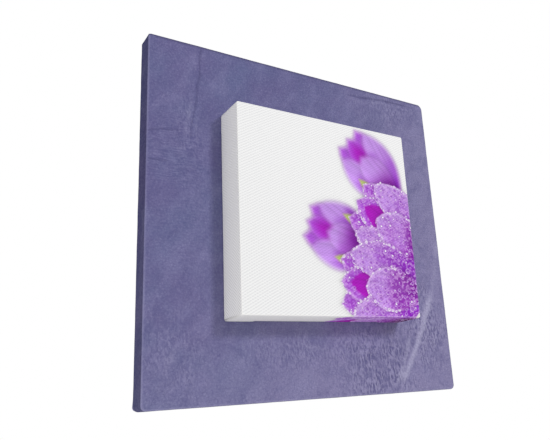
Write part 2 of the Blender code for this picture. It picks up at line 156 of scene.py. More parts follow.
def set_surroundings():
    """A white background for the camera, and an even grey one as soft light."""
    world = bpy.data.worlds.new("studio")
    world.use_nodes = True
    nodes, links = world.node_tree.nodes, world.node_tree.links
    nodes.clear()
    path = nodes.new("ShaderNodeLightPath")
    light = nodes.new("ShaderNodeBackground")
    light.inputs["Strength"].default_value = AMBIENT
    backdrop = nodes.new("ShaderNodeBackground")
    choice = nodes.new("ShaderNodeMixShader")
    output = nodes.new("ShaderNodeOutputWorld")
    links.new(path.outputs["Is Camera Ray"], choice.inputs[0])
    links.new(light.outputs[0], choice.inputs[1])
    links.new(backdrop.outputs[0], choice.inputs[2])
    links.new(choice.outputs[0], output.inputs["Surface"])
    for background in (light, backdrop):
        background.inputs["Color"].default_value = (1.0, 1.0, 1.0, 1.0)
    bpy.context.scene.world = world
    bpy.context.scene.view_settings.view_transform = "Standard"


def add_floor():
    """A round pale floor that fades into the background towards its rim."""
    bpy.ops.mesh.primitive_circle_add(
        vertices=96, radius=FLOOR_RADIUS, fill_type="NGON", location=(0.0, 0.0, -FLOOR_DROP))
    floor = bpy.context.object
    floor.name = "floor"
    graph = Graph("floor_paint")
    distance = graph.node("VectorMath", {0: graph.place()}, operation="LENGTH").outputs["Value"]
    speckle = graph.noise(graph.place(), 9.0, detail=3.0)
    colour = graph.mix(speckle, (0.80, 0.80, 0.80, 1), (0.84, 0.84, 0.84, 1))
    graph.finish(colour, 0.8)
    fade = graph.spread(distance, FLOOR_RADIUS * 0.35, FLOOR_RADIUS * 0.95)
    clear = graph.node("BsdfTransparent").outputs[0]
    choice = graph.node("MixShader", {0: fade, 1: graph.shader.outputs[0], 2: clear})
    graph.feed(graph.tree.nodes["Material Output"].inputs["Surface"], choice.outputs[0])
    floor.data.materials.append(graph.material)


# ---------------------------------------------------------------- material nodes

class Graph:
    """A material's nodes, added by short calls that give back sockets."""

    def __init__(self, name):
        self.material = bpy.data.materials.new(name)
        self.material.use_nodes = True
        self.tree = self.material.node_tree
        self.shader = self.tree.nodes["Principled BSDF"]

    def feed(self, socket, value):
        if isinstance(value, bpy.types.NodeSocket):
            self.tree.links.new(value, socket)
        else:
            socket.default_value = value

    def node(self, kind, inputs=(), **settings):
        made = self.tree.nodes.new("ShaderNode" + kind)
        for key, value in settings.items():
            setattr(made, key, value)
        for key, value in dict(inputs).items():
            self.feed(made.inputs[key], value)
        return made

    def place(self):
        """The point's place in the frame, in metres: pieces have their origins at its origin."""
        return self.node("TexCoord").outputs["Object"]

    def attribute(self, name, output="Fac"):
        return self.node("Attribute", attribute_name=name).outputs[output]

    def scaled(self, vector, scale, turn=(0.0, 0.0, 0.0)):
        return self.node("Mapping", {"Vector": vector, "Scale": scale, "Rotation": turn}).outputs[0]

    def noise(self, vector, scale, detail=2.0, roughness=0.5, distortion=0.0):
        return self.node("TexNoise", {
            "Vector": vector, "Scale": scale, "Detail": detail, "Roughness": roughness,
            "Distortion": distortion}).outputs["Fac"]

    def cells(self, vector, scale, feature="F1", output="Distance"):
        return self.node("TexVoronoi", {"Vector": vector, "Scale": scale}, feature=feature).outputs[output]

    def maths(self, operation, a, b=0.0):
        return self.node("Math", {0: a, 1: b}, operation=operation).outputs[0]

    def times(self, a, b):
        return self.maths("MULTIPLY", a, b)

    def vectors(self, operation, a, b):
        return self.node("VectorMath", {0: a, 1: b}, operation=operation).outputs[0]

    def stretched(self, vector, scale):
        return self.node("VectorMath", {0: vector, "Scale": scale}, operation="SCALE").outputs[0]

    def spread(self, value, low, high, to_low=0.0, to_high=1.0):
        """Map a range of values onto another, and stay inside it."""
        return self.node("MapRange", {0: value, 1: low, 2: high, 3: to_low, 4: to_high}).outputs[0]

    def mix(self, share, a, b, blend="MIX"):
        return self.node("Mix", {0: share, 6: a, 7: b}, data_type="RGBA",
                         blend_type=blend).outputs[2]

    def tinted(self, colour, value, spread, tint, blend="MIX"):
        """Mix in a tint by a share that is spread from a value."""
        return self.mix(self.spread(value, *spread), colour, tint, blend)

    def bump(self, height, distance, normal=None):
        """Raise the surface by distance, in metres, where height is 1."""
        inputs = {"Height": height, "Distance": distance, "Strength": 1.0}
        if normal is not None:
            inputs["Normal"] = normal
        return self.node("Bump", inputs).outputs[0]

    def finish(self, colour, roughness, normal=None, **values):
        """Feed the shader; names of values have _ for spaces."""
        self.feed(self.shader.inputs["Base Color"], colour)
        self.feed(self.shader.inputs["Roughness"], roughness)
        if normal is not None:
            self.feed(self.shader.inputs["Normal"], normal)
        for key, value in values.items():
            self.feed(self.shader.inputs[key.replace("_", " ")], value)
        return self.material


def leather_grain(name, specular, painted_shade_factor):
    """Dyed leather, grain side: pebbles and mottled dye; painted sheen, painted light on ridges and edges,
    and painted shade in grooves, along edges and on the sides.
    """
    graph = Graph(name)
    place = graph.place()
    wander = graph.node("TexNoise", {"Vector": place, "Scale": 90.0, "Detail": 2.0}).outputs["Color"]
    bend = graph.stretched(wander, 0.005)
    bent = graph.vectors("ADD", place, bend)
    relief, pale = graph.attribute("relief"), graph.attribute("pale")
    pucker, edge = graph.attribute("pucker"), graph.attribute("edge")
    rippled = graph.attribute("ripple")
    grain = graph.spread(graph.cells(bent, 430.0, feature="DISTANCE_TO_EDGE"), 0.0, 0.30)
    pores = graph.cells(bent, 1300.0)
    leaning = graph.scaled(bent, (1.0, 1.0, 1.0), (0.0, 0.12, 0.0))
    cobbles = graph.noise(graph.scaled(leaning, (560.0, 560.0, 200.0)), 1.0, detail=1.5, roughness=0.4)
    cobbles = graph.spread(cobbles, 0.38, 0.62)
    ripples = graph.noise(graph.scaled(bent, (110.0, 110.0, 760.0)), 1.0, detail=2.0)
    clouds = graph.noise(place, 14.0, detail=4.0, roughness=0.6)
    mottle = graph.noise(place, 62.0, detail=4.0, roughness=0.58, distortion=0.6)
    tilted = graph.scaled(place, (1.0, 1.0, 1.0), (0.0, -0.52, 0.0))
    folds = graph.noise(graph.scaled(tilted, (70.0, 70.0, 22.0)), 1.0, detail=4.0, distortion=0.4)
    fleck = graph.noise(place, 420.0, detail=3.0, roughness=0.6)
    pucker = graph.times(pucker, graph.spread(mottle, 0.38, 0.58, 0.45, 1.0))

    deep, light = (0.080, 0.076, 0.205, 1), (0.262, 0.250, 0.425, 1)
    colour = graph.mix(graph.spread(clouds, 0.38, 0.62), (0.126, 0.142, 0.279, 1), (0.142, 0.129, 0.275, 1))
    # Painted sheen: the pale share lightens the hide towards the lower right, where a lamp's reflection
    # would lie.
    stretched = graph.times(pale, graph.spread(mottle, 0.25, 0.65, 0.8, 1.1))
    colour = graph.mix(stretched, colour, (0.285, 0.258, 0.415, 1))
    colour = graph.tinted(colour, mottle, (0.34, 0.50, 0.26, 0.0), deep)
    colour = graph.tinted(colour, mottle, (0.52, 0.70, 0.0, 0.24), light)
    colour = graph.tinted(colour, folds, (0.36, 0.50, 0.22, 0.0), deep)
    colour = graph.tinted(colour, folds, (0.52, 0.68, 0.0, 0.30), light)
    colour = graph.tinted(colour, fleck, (0.34, 0.50, 0.32, 0.0), deep)
    colour = graph.tinted(colour, fleck, (0.50, 0.66, 0.0, 0.30), light)
    colour = graph.tinted(colour, grain, (0.0, 1.0, 0.28, 0.0), deep)
    colour = graph.mix(graph.times(pucker, graph.spread(cobbles, 0.0, 0.5, 0.80, 0.0)), colour, deep)
    colour = graph.mix(graph.times(pucker, graph.spread(cobbles, 0.5, 1.0, 0.0, 0.55)),
                       colour, (0.34, 0.32, 0.49, 1))
    colour = graph.mix(graph.times(rippled, graph.spread(ripples, 0.36, 0.50, 0.45, 0.0)), colour, deep)
    colour = graph.mix(graph.times(rippled, graph.spread(ripples, 0.50, 0.64, 0.0, 0.34)), colour, light)
    # Painted light on ridges and painted shade in grooves, both from the relief.
    painted_ridge_light = graph.times(graph.spread(relief, 0.54, 1.0, 0.0, 0.95),
                         graph.spread(fleck, 0.38, 0.60, 0.55, 1.0))
    colour = graph.mix(painted_ridge_light, colour, (0.42, 0.40, 0.56, 1))
    colour = graph.tinted(colour, relief, (0.0, 0.46, 0.90, 0.0), (0.060, 0.055, 0.150, 1))
    # Painted highlight on the left and lower edges; painted shade on the upper and right edges, darkest
    # along the top.
    colour = graph.tinted(colour, edge, (0.5, 1.0, 0.0, 0.45), (0.30, 0.29, 0.46, 1))
    colour = graph.tinted(colour, edge, (0.0, 0.5, 0.80, 0.0), (0.050, 0.046, 0.120, 1))
    # Painted shade: the sides' copy of this material is darkened by the factor it is given.
    colour = graph.mix(1.0, colour, (painted_shade_factor, painted_shade_factor, painted_shade_factor * 1.06, 1), "MULTIPLY")

    rough = graph.maths("ADD", graph.spread(mottle, 0.3, 0.7, 0.50, 0.62),
                        graph.spread(grain, 0.0, 1.0, 0.12, 0.0))
    normal = graph.bump(fleck, 0.00030)
    normal = graph.bump(graph.times(pucker, cobbles), 0.00060, normal)
    normal = graph.bump(graph.spread(pores, 0.0, 0.5), 0.00008, normal)
    normal = graph.bump(grain, 0.00020, normal)
    return graph.finish(colour, rough, normal, Specular_IOR_Level=specular)


def leather_flesh():
    """The leather's raw inner side: pale, felted and fibrous."""
    graph = Graph("leather_flesh")
    place = graph.place()
    fibres = graph.noise(graph.scaled(place, (900.0, 900.0, 260.0), (0.0, 0.5, 0.0)), 1.0, detail=4.0)
    clouds = graph.noise(place, 35.0, detail=4.0, roughness=0.6)
    colour = graph.mix(graph.spread(clouds, 0.3, 0.7), (0.180, 0.168, 0.290, 1), (0.250, 0.232, 0.350, 1))
    colour = graph.tinted(colour, fibres, (0.35, 0.65, 0.5, 0.0), (0.135, 0.125, 0.225, 1))
    normal = graph.bump(clouds, 0.0006)
    normal = graph.bump(fibres, 0.0003, normal)
    return graph.finish(colour, graph.spread(fibres, 0.3, 0.7, 0.88, 0.97), normal,
                        Sheen_Weight=0.3, Sheen_Roughness=0.6)


def weave_height(graph, cloth):
    """Threads over and under each other, with the slants that their offsets draw; 0 to 1."""
    parts = graph.node("SeparateXYZ", {0: cloth})
    across, up = parts.outputs[0], parts.outputs[2]
    drift = graph.times(graph.noise(cloth, 45.0, detail=2.0), 3.0)
    turns = graph.times(across, 2 * math.pi / TWILL_ACROSS)
    climb = graph.times(up, 2 * math.pi / TWILL_UP)
    rising = graph.maths("SINE", graph.maths("ADD", graph.maths("SUBTRACT", turns, climb), drift))
    falling = graph.maths("SINE", graph.maths("ADD", graph.maths("ADD", turns, climb), drift))
    broken = graph.times(falling, graph.spread(graph.noise(cloth, 120.0), 0.4, 0.6, 0.15, 0.75))
    ridge = graph.spread(graph.maths("ADD", rising, broken), -1.3, 1.3)
    warp = graph.maths("SINE", graph.times(across, 2 * math.pi / (TWILL_ACROSS / 3)))
    weft = graph.maths("SINE", graph.times(up, 2 * math.pi / (TWILL_UP / 2)))
    threads = graph.spread(graph.times(warp, weft), -1.0, 1.0)
    return ridge, threads


def printed_cloth():
    """Ink on coated canvas: the painted print, dew drops, and the weave showing through."""
    graph = Graph("printed_cloth")
    cloth = graph.attribute("cloth", "Vector")
    ridge, threads = weave_height(graph, cloth)
    dew, beads = graph.attribute("dew"), graph.attribute("beads")
    colour = graph.attribute("print", "Color")
    sparkle = graph.cells(cloth, 1 / 0.0022, output="Color")
    sparkle = graph.node("SeparateColor", {0: sparkle}).outputs[0]
    colour = graph.mix(graph.times(dew, graph.spread(sparkle, 0.50, 1.0, 0.0, 0.58)),
                       colour, (0.74, 0.42, 0.88, 1))
    colour = graph.mix(graph.times(dew, graph.spread(sparkle, 0.0, 0.50, 0.42, 0.0)),
                       colour, (0.26, 0.015, 0.42, 1))
    for size, chance, seed in DEW_LAYERS:
        share = graph.times(dew, chance)
        colour = dew_drops(graph, cloth, colour, share, size, seed, DROP_TINTS, DROP_RADII)
    colour = dew_drops(graph, cloth, colour, beads, BEAD_SIZE, BEAD_SEED, BEAD_TINTS, BEAD_RADII)
    side = graph.attribute("side")
    gaps = graph.mix(side, (0.87, 0.87, 0.88, 1), (0.78, 0.78, 0.78, 1))
    colour = graph.tinted(colour, ridge, (0.2, 0.6, 1.0, 0.0), gaps, "MULTIPLY")
    colour = graph.tinted(colour, threads, (0.0, 0.5, 1.0, 0.0), (0.95, 0.95, 0.955, 1), "MULTIPLY")
    # Painted highlight: the front edges are whitened in ragged patches.
    painted_edge_highlight = graph.times(graph.attribute("painted_edge_highlight"), graph.spread(
        graph.noise(cloth, 500.0, detail=3.0), 0.30, 0.55, 0.0, 0.35))
    colour = graph.mix(painted_edge_highlight, colour, (0.93, 0.92, 0.95, 1), "SCREEN")
    normal = graph.bump(ridge, 0.00012)
    normal = graph.bump(threads, 0.00010, normal)
    rough = graph.spread(threads, 0.0, 1.0, 0.80, 0.66)
    return graph.finish(colour, rough, normal, Specular_IOR_Level=0.08)


def dew_drops(graph, cloth, colour, chance, size, seed, tints, radii):
    """Round drops, one to a cell of a size: dark above, bright below, with a small glint."""
    across = graph.node("SeparateXYZ", {0: cloth})
    flat = graph.node("CombineXYZ", {0: across.outputs[0], 1: across.outputs[2]}).outputs[0]
    flat = graph.vectors("ADD", flat, (seed * 0.01, seed * 0.013, 0.0))
    cell = graph.node("TexVoronoi", {"Vector": flat, "Scale": 1.0 / size, "Randomness": 0.75},
                      feature="F1", voronoi_dimensions="2D")
    parts = graph.node("SeparateColor", {0: cell.outputs["Color"]})
    present = graph.maths("LESS_THAN", parts.outputs[0], chance)
    radius = graph.spread(parts.outputs[1], 0.0, 1.0, *radii)
    reach = graph.maths("DIVIDE", cell.outputs["Distance"], radius)
    inside = graph.times(graph.spread(reach, 0.90, 1.06, 1.0, 0.0), present)
    scaled = graph.stretched(flat, 1.0 / size)
    middle = graph.stretched(cell.outputs["Position"], 1.0 / size)
    offset = graph.vectors("SUBTRACT", scaled, middle)
    towards_light = graph.node("VectorMath", {0: offset, 1: (0.5, 0.85, 0.0)},
                               operation="DOT_PRODUCT").outputs["Value"]
    lean = graph.maths("DIVIDE", towards_light, radius)
    fading = graph.spread(reach, 0.95, 1.35, 1.0, 0.0)
    shadow = graph.times(present, graph.times(fading, graph.spread(
        lean, -0.3, -1.1, 0.0, 0.55)))
    body = graph.times(inside, 0.48)
    low_glow = graph.times(inside, graph.spread(lean, -0.2, -0.9, 0.0, 0.65))
    top_shade = graph.times(inside, graph.spread(lean, 0.0, 0.8, 0.0, 0.75))
    ring = graph.times(inside, graph.spread(reach, 0.58, 0.82, 0.0, 0.80))
    glint_place = graph.vectors("ADD", offset, (-0.05, -0.09, 0.0))
    glint_reach = graph.node("VectorMath", {0: glint_place}, operation="LENGTH").outputs["Value"]
    sparkling = graph.maths("GREATER_THAN", parts.outputs[2], 0.68)
    glint = graph.times(graph.times(inside, sparkling),
                        graph.spread(glint_reach, 0.06, 0.13, 1.0, 0.0))
    colour = graph.mix(shadow, colour, (0.13, 0.01, 0.28, 1))
    for share, tint in zip((body, top_shade, ring, low_glow), tints):
        colour = graph.mix(share, colour, tint)
    return graph.mix(glint, colour, (1.0, 0.98, 1.0, 1))


def raw_cloth():
    """The cloth's unprinted side: natural cotton."""
    graph = Graph("raw_cloth")
    cloth = graph.attribute("cloth", "Vector")
    ridge, threads = weave_height(graph, cloth)
    colour = graph.mix(threads, (0.50, 0.43, 0.33, 1), (0.68, 0.62, 0.51, 1))
    normal = graph.bump(threads, 0.0002, graph.bump(ridge, 0.0001))
    return graph.finish(colour, graph.spread(ridge, 0.0, 1.0, 0.85, 0.93), normal)


def wood(name, along, light, dark, seed, ring_size=0.0042):
    """Sawn wood whose grain runs along an axis: growth rings, fibres and pores."""
    graph = Graph(name)
    turn = {"X": (0.0, 0.0, 0.0), "Z": (0.0, math.pi / 2, 0.0)}[along]
    place = graph.scaled(graph.place(), (1.0, 1.0, 1.0), turn)
    moved = graph.vectors("ADD", place, (seed * 0.37, 0.031 + 0.011 * seed, 0.055 * seed))
    drawn_out = graph.scaled(moved, (0.10, 1.0, 1.0))
    sway = graph.noise(drawn_out, 28.0, detail=3.0)
    parts = graph.node("SeparateXYZ", {0: moved})
    distance = graph.maths("SQRT", graph.maths(
        "ADD", graph.maths("POWER", graph.maths("ADD", parts.outputs[1], 0.045), 2.0),
        graph.maths("POWER", parts.outputs[2], 2.0)))
    years = graph.times(graph.noise(drawn_out, 70.0), 2.6)
    ring = graph.maths("ADD", graph.maths("DIVIDE", distance, ring_size),
                       graph.maths("ADD", graph.times(sway, 4.5), years))
    late = graph.spread(graph.maths("FRACT", ring), 0.15, 0.95)
    late = graph.times(late, graph.spread(graph.noise(drawn_out, 150.0), 0.38, 0.60, 0.35, 1.0))
    fibres = graph.noise(graph.scaled(moved, (55.0, 1500.0, 1500.0)), 1.0, detail=4.0)
    stain = graph.noise(drawn_out, 16.0, detail=3.0)
    pores = graph.spread(graph.noise(graph.scaled(moved, (90.0, 2600.0, 2600.0)), 1.0), 0.60, 0.72)
    colour = graph.mix(graph.maths("POWER", late, 2.0), light, dark)
    colour = graph.tinted(colour, fibres, (0.32, 0.68, 0.5, 0.0), dark)
    colour = graph.tinted(colour, stain, (0.35, 0.7, 0.0, 0.30), (0.46, 0.30, 0.16, 1))
    colour = graph.mix(graph.times(pores, 0.45), colour, (0.20, 0.11, 0.05, 1))
    normal = graph.bump(fibres, 0.00012)
    normal = graph.bump(late, 0.00006, normal)
    return graph.finish(colour, graph.spread(fibres, 0.3, 0.7, 0.52, 0.72), normal,
                        Specular_IOR_Level=0.4)


def steel(name, tint, roughness, scratch_scale):
    """Plated steel with fine scratches and a little tarnish."""
    graph = Graph(name)
    place = graph.place()
    scratches = graph.noise(graph.scaled(place, (scratch_scale, scratch_scale, scratch_scale * 14),
                                         (0.3, 0.5, 0.2)), 1.0, detail=5.0)
    tarnish = graph.noise(place, 260.0, detail=4.0, roughness=0.65)
    dull = tuple(value * 0.62 for value in tint[:3]) + (1,)
    colour = graph.mix(graph.spread(tarnish, 0.40, 0.72, 0.0, 0.75), tint, dull)
    rough = graph.maths("ADD", graph.spread(tarnish, 0.3, 0.7, roughness, roughness + 0.16),
                        graph.spread(scratches, 0.4, 0.7, 0.0, 0.10))
    normal = graph.bump(scratches, 0.00002)
    return graph.finish(colour, rough, normal, Metallic=1.0)


def rubber():
    """Moulded rubber, dusty on its face."""
    graph = Graph("moulded_rubber")
    place = graph.place()
    grit = graph.noise(place, 1600.0, detail=3.0)
    dust = graph.noise(place, 300.0, detail=4.0, roughness=0.7)
    colour = graph.mix(graph.spread(dust, 0.45, 0.75, 0.0, 0.5),
                       (0.018, 0.018, 0.020, 1), (0.10, 0.10, 0.10, 1))
    normal = graph.bump(grit, 0.00006)
    return graph.finish(colour, graph.spread(dust, 0.3, 0.7, 0.62, 0.85), normal)


# ---------------------------------------------------------------- sheets wrapped over a frame

def even_lines(low, high, pitch):
    """Positions from low up to, but not including, high, about a pitch apart."""
    count = max(1, round((high - low) / pitch))
    return [low + (high - low) * i / count for i in range(count)]


class WrappedSheet:
    """One sheet over a square frame's front and sides, turned over onto its back.

    The front is a grid. Rings of the same count of points carry on from its rim, over the front
    edge, along the sides, over the back edge and in across the back. An inner skin goes back the
    same way, and closes the sheet's thickness.
    """

    INNER_STRIDE = 5           # front grid lines to each line of the inner skin
    CORNER_PITCH = 0.0008      # between the lines that cross the rounded corners

    def __init__(self, node, corners, edge, turn_over, thickness, lines_x, lines_z, side_pitch):
        low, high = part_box(node)
        self.half = high.x
        self.front, self.back = low.y, high.y
        self.corners, self.edge, self.turn_over = corners, edge, turn_over
        self.thickness, self.side_pitch = thickness, side_pitch
        self.lines_x, self.lines_z = self.with_corners(lines_x), self.with_corners(lines_z)
        self.points, self.normals, self.cloth, self.faces, self.inside = [], [], [], [], []
        self.count = 0
        self.build_front()
        rim = self.rim_of_grid()
        last = self.add_rings(rim, self.outer_section(), self.front_rim_ids)
        last = self.add_rings(rim, self.inner_section(), last, inner=True)
        self.close_inner_front(last)
        self.finish_arrays()

    def with_corners(self, middle_lines):
        """Add the lines that cross the rounded corners to the ones between them."""
        flat, core = self.half - self.edge, self.half - max(self.corners)
        cells = max(3, round((flat - core) / self.CORNER_PITCH))
        step = (flat - core) / cells
        ends = [core + step * i for i in range(cells + 1)]
        middle = [x for x in middle_lines if abs(x) < core - step / 2]
        return np.array([-x for x in reversed(ends)] + middle + ends)

    def past_core(self, x, z):
        """How far points lie into the rounding of the corner nearest to them, and its radius."""
        top_left, top_right, bottom_right, bottom_left = self.corners
        radius = np.where(z > 0, np.where(x > 0, top_right, top_left),
                          np.where(x > 0, bottom_right, bottom_left))
        core = self.half - radius
        return np.clip(np.abs(x) - core, 0, None), np.clip(np.abs(z) - core, 0, None), radius

    def rounded(self, x, z):
        """Pull the corner cells of a square grid into quarter circles."""
        a, b, radius = self.past_core(x, z)
        length = np.maximum(np.hypot(a, b), 1e-9)
        pull = np.where((a > 0) & (b > 0), np.maximum(a, b) / length, 1.0)
        core = self.half - radius
        new_x = np.where(a > 0, np.sign(x) * (core + a * pull), x)
        new_z = np.where(b > 0, np.sign(z) * (core + b * pull), z)
        return new_x, new_z

    def add_points(self, x, y, z, nx, ny, nz, cloth_x, cloth_z, inner):
        for rows, values in ((self.points, (x, y, z)), (self.normals, (nx, ny, nz)),
                             (self.cloth, (cloth_x, 0.0 * cloth_x, cloth_z))):
            rows.append(np.stack(np.broadcast_arrays(*values), -1).reshape(-1, 3))
        first = self.count
        self.count += len(self.points[-1])
        self.inside.append(np.full(len(self.points[-1]), inner))
        return np.arange(first, self.count)

    def build_front(self):
        square_x, square_z = np.meshgrid(self.lines_x, self.lines_z)
        x, z = self.rounded(square_x, square_z)
        zero = np.zeros_like(x)
        ids = self.add_points(x, zero + self.front, z, zero, zero - 1, zero, x, z, False)
        self.grid = ids.reshape(x.shape)
        g = self.grid
        self.faces += np.stack([g[:-1, :-1], g[:-1, 1:], g[1:, 1:], g[1:, :-1]], -1).reshape(-1, 4).tolist()
        self.front_rim_ids = np.concatenate([g[0, :-1], g[:-1, -1], g[-1, :0:-1], g[:0:-1, 0]])

    def rim_of_grid(self):
        """The front's rim: places, outward directions, and places before rounding."""
        square = [np.meshgrid(self.lines_x, self.lines_z)[i] for i in (0, 1)]
        loop = [np.concatenate([v[0, :-1], v[:-1, -1], v[-1, :0:-1], v[:0:-1, 0]]) for v in square]
        x, z = self.rounded(*loop)
        away_x, away_z, _ = self.past_core(x, z)
        away_x, away_z = away_x * np.sign(x), away_z * np.sign(z)
        length = np.hypot(away_x, away_z)
        return {"x": x, "z": z, "out_x": away_x / length, "out_z": away_z / length,
                "square_x": loop[0], "square_z": loop[1]}

    def outer_section(self):
        """Steps over the edges: outward distance, depth, lean, inset on the back, way along."""
        edge, steps = self.edge, 4
        section, way = [], 0.0
        for i in range(1, steps + 1):
            angle = i / steps * math.pi / 2
            way += edge * math.pi / 2 / steps
            depth = self.front + edge * (1 - math.cos(angle))
            section.append((edge * math.sin(angle), depth, angle, 0.0, way))
        side = self.back - self.front - 2 * edge
        for place in even_lines(0.0, side, self.side_pitch)[1:] + [side]:
            section.append((edge, self.front + edge + place, math.pi / 2, 0.0, way + place))
        way += side
        for i in range(1, steps + 1):
            angle = math.pi / 2 * (1 + i / steps)
            way += edge * math.pi / 2 / steps
            depth = self.back - edge * (1 + math.cos(angle))
            section.append((edge * math.sin(angle), depth, angle, 0.0, way))
        turn = self.turn_over - edge
        for place in even_lines(0.0, turn, self.side_pitch)[1:] + [turn]:
            section.append((0.0, self.back, math.pi, place, way + place))
        return section

    def inner_section(self):
        """The same way back, a thickness inside, with few steps."""
        deep, edge = self.thickness, self.edge
        turn = self.turn_over - edge
        way = self.edge * math.pi + self.back - self.front - 2 * edge
        section = [(0.0, self.back - deep, math.pi, turn * share, way + turn * share)
                   for share in (1.0, 0.6, 0.25, 0.0)]
        section += [(edge - deep, self.back - edge, math.pi / 2, 0.0, way),
                    (edge - deep, self.front + edge, math.pi / 2, 0.0, 0.0)]
        section += [(0.0, self.front + deep, 0.0, 0.0, 0.0)]
        return section

    def add_rings(self, rim, section, previous, inner=False):
        for out, depth, angle, inset, way in section:
            shrink = 1.0 - inset / self.half
            square = smoothstep(0.0, 0.008, inset)
            base_x = rim["x"] + (rim["square_x"] - rim["x"]) * square
            base_z = rim["z"] + (rim["square_z"] - rim["z"]) * square
            lean, turn = math.sin(angle), -math.cos(angle)
            ring = self.add_points(
                base_x * shrink + rim["out_x"] * out, depth, base_z * shrink + rim["out_z"] * out,
                rim["out_x"] * lean, turn, rim["out_z"] * lean,
                rim["x"] + rim["out_x"] * way, rim["z"] + rim["out_z"] * way, inner)
            after, before = np.roll(ring, -1), np.roll(previous, -1)
            self.faces += np.stack([previous, ring, after, before], -1).tolist()
            previous = ring
        return previous

    def close_inner_front(self, rim):
        """Fill the inner skin's front with a coarse grid that meets every point of its rim."""
        rows, columns = self.grid.shape
        skin = np.full(self.grid.shape, -1)
        for target, ids in ((np.s_[0, :-1], 0),
                            (np.s_[:-1, -1], columns - 1),
                            (np.s_[-1, :0:-1], columns + rows - 2),
                            (np.s_[:0:-1, 0], 2 * columns + rows - 3)):
            place = skin[target]
            place[:] = rim[ids:ids + len(place)]
        stops = [sorted(set(range(0, n - 1, self.INNER_STRIDE)) - {n - 2} | {n - 1})
                 for n in (columns, rows)]
        inner_x, inner_z = stops[0][1:-1], stops[1][1:-1]
        x, z = np.meshgrid(self.lines_x[inner_x], self.lines_z[inner_z])
        zero = np.zeros_like(x)
        ids = self.add_points(x, zero + self.front + self.thickness, z, zero, zero - 1, zero, x, z, True)
        skin[np.ix_(inner_z, inner_x)] = ids.reshape(x.shape)
        for j0, j1 in zip(stops[1], stops[1][1:]):
            for i0, i1 in zip(stops[0], stops[0][1:]):
                loop = [skin[j, i0] for j in range(j0, j1)] + [skin[j1, i] for i in range(i0, i1)]
                loop += [skin[j, i1] for j in range(j1, j0, -1)] + [skin[j0, i] for i in range(i1, i0, -1)]
                self.faces.append([int(k) for k in loop if k >= 0])

    def finish_arrays(self):
        self.points, self.normals = np.concatenate(self.points), np.concatenate(self.normals)
        self.cloth, self.inside = np.concatenate(self.cloth), np.concatenate(self.inside)

    def to_object(self, name, materials, lift):
        """Make the mesh, its points moved along their outward normals by lift."""
        points = self.points + self.normals * lift[:, None]
        mesh = bpy.data.meshes.new(name)
        mesh.from_pydata(points.tolist(), [], self.faces)
        for material in materials:
            mesh.materials.append(material)
        on_side = (np.abs(self.normals[:, 1]) < 0.5) * (2 if len(materials) > 2 else 0)
        kind = np.where(self.inside, 1, on_side)
        mesh.polygons.foreach_set("material_index", [int(kind[face].min()) for face in self.faces])
        mesh.shade_smooth()
        self.store(mesh, "cloth", self.cloth, "FLOAT_VECTOR", "vector")
        obj = bpy.data.objects.new(name, mesh)
        bpy.context.scene.collection.objects.link(obj)
        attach(obj, PANEL)
        return obj

    @staticmethod
    def store(mesh, name, values, kind="FLOAT", field="value"):
        attribute = mesh.attributes.new(name, kind, "POINT")
        attribute.data.foreach_set(field, np.asarray(values, np.float32).ravel())


def along_line(points, x, z):
    """Distance from a smooth open line, and the share of the way along it, for each point."""
    p = np.array(points, float)
    p = np.vstack([2 * p[0] - p[1], p, 2 * p[-1] - p[-2]])
    curve = []
    steps = 8
    for a, b, c, d in zip(p, p[1:], p[2:], p[3:]):
        for u in np.arange(steps) / steps:
            curve.append(0.5 * (2 * b + (c - a) * u + (2 * a - 5 * b + 4 * c - d) * u**2
                                + (3 * b - a - 3 * c + d) * u**3))
    curve.append(p[-2])
    nearest, way = np.full(x.shape, np.inf), np.zeros(x.shape)
    for i, ((x0, z0), (x1, z1)) in enumerate(zip(curve, curve[1:])):
        dx, dz = x1 - x0, z1 - z0
        share = np.clip(((x - x0) * dx + (z - z0) * dz) / (dx * dx + dz * dz), 0, 1)
        distance = np.hypot(x - x0 - share * dx, z - z0 - share * dz)
        way = np.where(distance < nearest, (i + share) / (len(curve) - 1), way)
        nearest = np.minimum(nearest, distance)
    return nearest, way


# ---------------------------------------------------------------- leather

# Creases and streaks as shallow arcs: start, end, bow to the left of the way as a share of its length,
# half width, and rise as a share of the relief, negative for a groove
HIDE_MARKS = (
    ((-0.125, 0.175), (-0.140, 0.060), 0.03, 0.0012, -0.50),     # long crease, upper left
    ((-0.130, 0.175), (-0.145, 0.060), 0.03, 0.0020, 0.14),      # its lip
    ((-0.175, 0.075), (-0.140, 0.080), 0.02, 0.0012, -0.40),     # three short creases, left
    ((-0.175, 0.060), (-0.140, 0.060), 0.00, 0.0012, 0.14),
    ((-0.175, 0.045), (-0.155, 0.045), 0.00, 0.0012, -0.40),
    ((-0.165, -0.170), (-0.145, -0.120), 0.05, 0.0045, 0.19),    # soft fold, lower left
    ((-0.060, -0.120), (0.015, -0.130), -0.04, 0.0018, 0.19),    # ripple below the canvas
    ((0.155, -0.070), (0.095, -0.175), 0.04, 0.0038, 0.88),      # main streak, lower right
    ((0.120, -0.115), (0.090, -0.175), 0.04, 0.0030, 0.42),      # its branch
    ((0.130, -0.110), (0.100, -0.165), 0.03, 0.0015, -0.24),     # the groove between them
    ((0.175, 0.000), (0.145, -0.100), 0.04, 0.0040, 0.29),       # ridge on the right
    ((0.060, 0.165), (0.175, 0.170), 0.02, 0.0013, -0.60),       # crease, upper right
    ((0.060, 0.160), (0.170, 0.165), 0.02, 0.0014, 0.16),        # its lip
)
MARK_STEPS = 6         # pieces that each arc is laid out in
